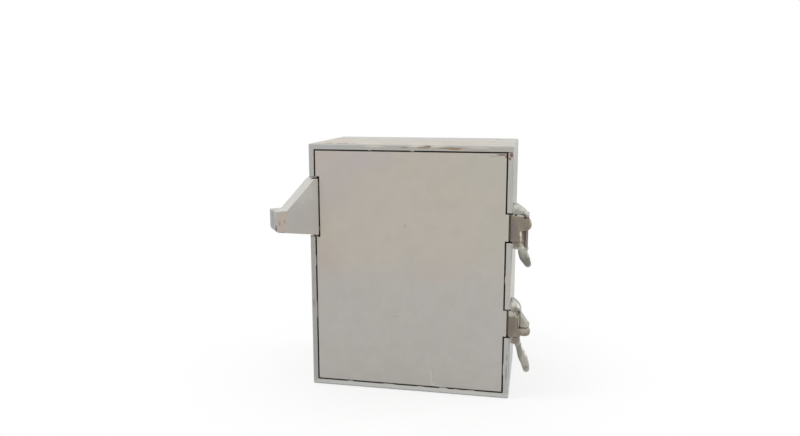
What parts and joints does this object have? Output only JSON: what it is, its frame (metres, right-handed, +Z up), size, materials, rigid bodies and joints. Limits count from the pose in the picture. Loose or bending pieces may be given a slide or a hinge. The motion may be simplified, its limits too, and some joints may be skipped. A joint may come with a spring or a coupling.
{
  "type": "tabernacle box",
  "caption": "Painted steel tabernacle box with an inset door on outside pin hinges and a flared wrap-round lever latch.",
  "frame": {"origin": "middle of the case's underside", "axes": "+X to the hinge side, +Y from the door to the back, +Z up"},
  "size_m": [0.3876, 0.2216, 0.372],
  "materials": {
    "case_paint": "old thick off-white oil paint, satin, chipped at the edges",
    "door_paint": "old thick warm grey oil paint, satin",
    "lever_paint": "old thick grey paint, browned by hands at the grip",
    "bracket_paint": "cast iron under old olive grey paint, rubbed at the edges",
    "hinge_iron": "cast iron with worn paint, olive brown",
    "pin_steel": "dull steel, brown with age",
    "screw_steel": "dull steel"
  },
  "bodies": {
    "case": {"case_top": "case_paint", "case_bottom": "case_paint", "case_left": "case_paint", "case_right": "case_paint", "case_back": "case_paint", "case_jamb_upper": "case_paint", "case_jamb_lower": "case_paint", "stop_top": "case_paint", "stop_bottom": "case_paint", "stop_left": "case_paint", "stop_right": "case_paint", "hinge_bracket_upper": "bracket_paint", "hinge_pin_upper": "pin_steel", "hinge_washer_upper": "pin_steel", "hinge_bracket_lower": "bracket_paint", "hinge_pin_lower": "pin_steel", "hinge_washer_lower": "pin_steel", "bracket_screws": "screw_steel"},
    "door": {"door_skin": "door_paint", "door_stile_latch": "door_paint", "door_stile_hinge": "door_paint", "door_rail_top": "door_paint", "door_rail_bottom": "door_paint", "door_inner_panel": "door_paint", "panel_screws": "screw_steel", "hinge_leaf_upper": "hinge_iron", "hinge_leaf_lower": "hinge_iron", "leaf_screws": "screw_steel", "latch_mount": "hinge_iron", "latch_mount_screws": "screw_steel", "latch_pin": "pin_steel", "latch_washers": "pin_steel"},
    "lever": {"latch_lever": "lever_paint", "latch_barrel": "lever_paint", "latch_tooth": "lever_paint"}
  },
  "joints": [
    {"name": "door_hinge", "type": "hinge", "parent": "case", "child": "door", "pos_m": [0.1694, -0.083, 0.1855], "axis": [0, 0, 1], "range_deg": [0, 100]},
    {"name": "lever_pivot", "type": "hinge", "parent": "door", "child": "lever", "pos_m": [-0.1425, -0.0845, 0.2781], "axis": [0, 0, 1], "range_deg": [-18, 0]}
  ]
}
